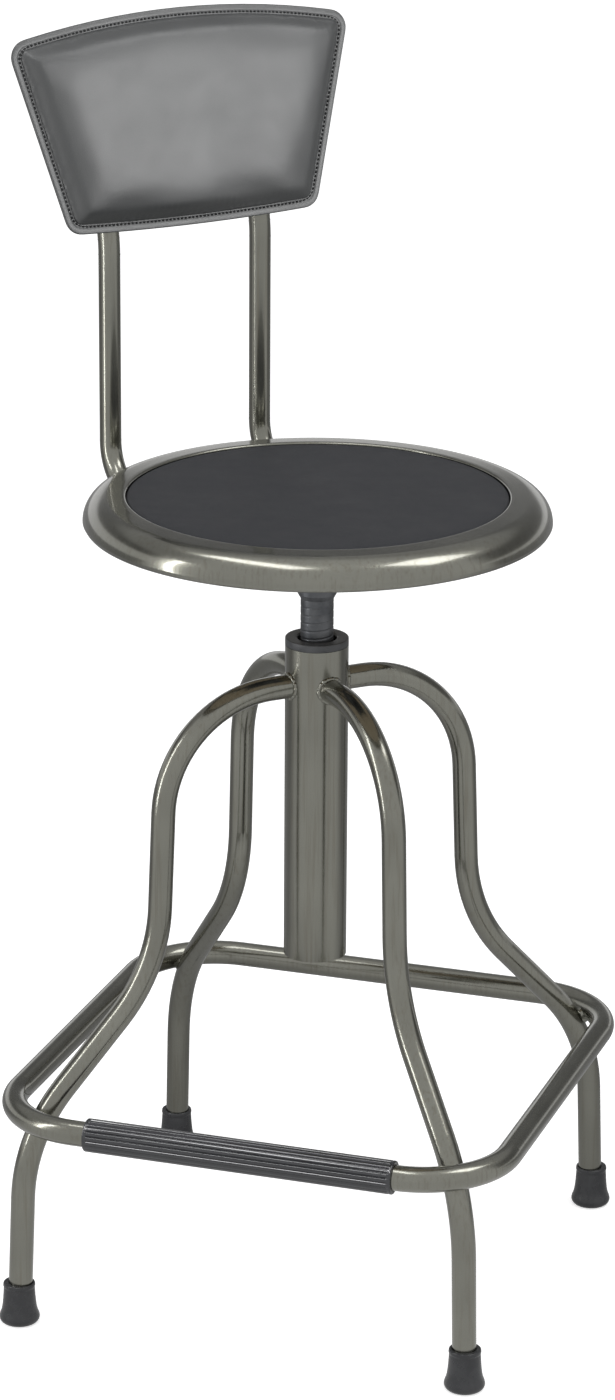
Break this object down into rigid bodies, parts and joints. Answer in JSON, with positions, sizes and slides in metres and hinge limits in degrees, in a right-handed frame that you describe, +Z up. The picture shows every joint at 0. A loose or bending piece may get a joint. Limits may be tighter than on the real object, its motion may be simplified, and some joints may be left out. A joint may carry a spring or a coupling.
{
  "type": "drafting chair",
  "caption": "Tall stool with a round steel seat on a screw lift, an inset seat pad, a padded back on two tubes, four bent tube legs and a foot ring.",
  "frame": {"origin": "on the floor, on the axis of the column and of the lift screw", "axes": "+Z up along the column; -Y towards the front of the base, where the footrest sleeve is; +X to the right of the base seen from its front"},
  "size_m": [0.4781, 0.4757, 0.9929],
  "materials": {
    "pewter_steel": "glossy metallic pewter coating",
    "black_collar": "satin black moulded collar",
    "black_steel": "satin black oxide",
    "zinc_steel": "zinc plated",
    "sleeve_rubber": "ribbed, slight sheen",
    "foot_rubber": "smooth moulded",
    "white_nylon": "natural nylon",
    "plywood": "unfinished plywood",
    "seat_vinyl": "fine grained matt vinyl",
    "back_vinyl": "smooth satin vinyl, topstitched",
    "cap_plastic": "black moulded plugs"
  },
  "bodies": {
    "base": {"column_tube": "pewter_steel", "top_collar": "black_collar", "lift_nut": "zinc_steel", "column_welds": "pewter_steel", "leg_front_left": "pewter_steel", "leg_front_right": "pewter_steel", "leg_back_right": "pewter_steel", "leg_back_left": "pewter_steel", "foot_ring": "pewter_steel", "ring_welds": "pewter_steel", "footrest_sleeve": "sleeve_rubber", "foot_front_left": "foot_rubber", "foot_front_right": "foot_rubber", "foot_back_right": "foot_rubber", "foot_back_left": "foot_rubber", "foot_washers": "zinc_steel"},
    "guide": {"guide_bush": "white_nylon"},
    "seat": {"lift_screw": "black_steel", "guide_washer": "zinc_steel", "guide_bolt": "zinc_steel", "seat_hub": "black_steel", "mount_plate": "black_steel", "seat_pan": "pewter_steel", "seat_board": "plywood", "seat_pad": "seat_vinyl", "plate_bolts": "zinc_steel", "plate_nuts": "zinc_steel", "back_upright_left": "pewter_steel", "back_upright_right": "pewter_steel", "upright_bolts": "zinc_steel", "upright_nuts": "zinc_steel", "upright_caps": "cap_plastic", "back_cover": "back_vinyl", "back_board": "plywood", "back_flange": "back_vinyl", "back_cushion": "back_vinyl", "back_screws": "zinc_steel"}
  },
  "joints": [
    {"name": "lift", "type": "slide", "parent": "base", "child": "guide", "axis": [0, 0, 1], "range_m": [-0.0381, 0.0762]},
    {"name": "spin", "type": "hinge", "parent": "guide", "child": "seat", "pos_m": [0, 0, 0.39], "axis": [0, 0, 1], "range_deg": [-2160, 4320]}
  ],
  "couplings": [
    {"joint": "lift", "follows": "spin", "m_per_rad": 0.0010106}
  ]
}
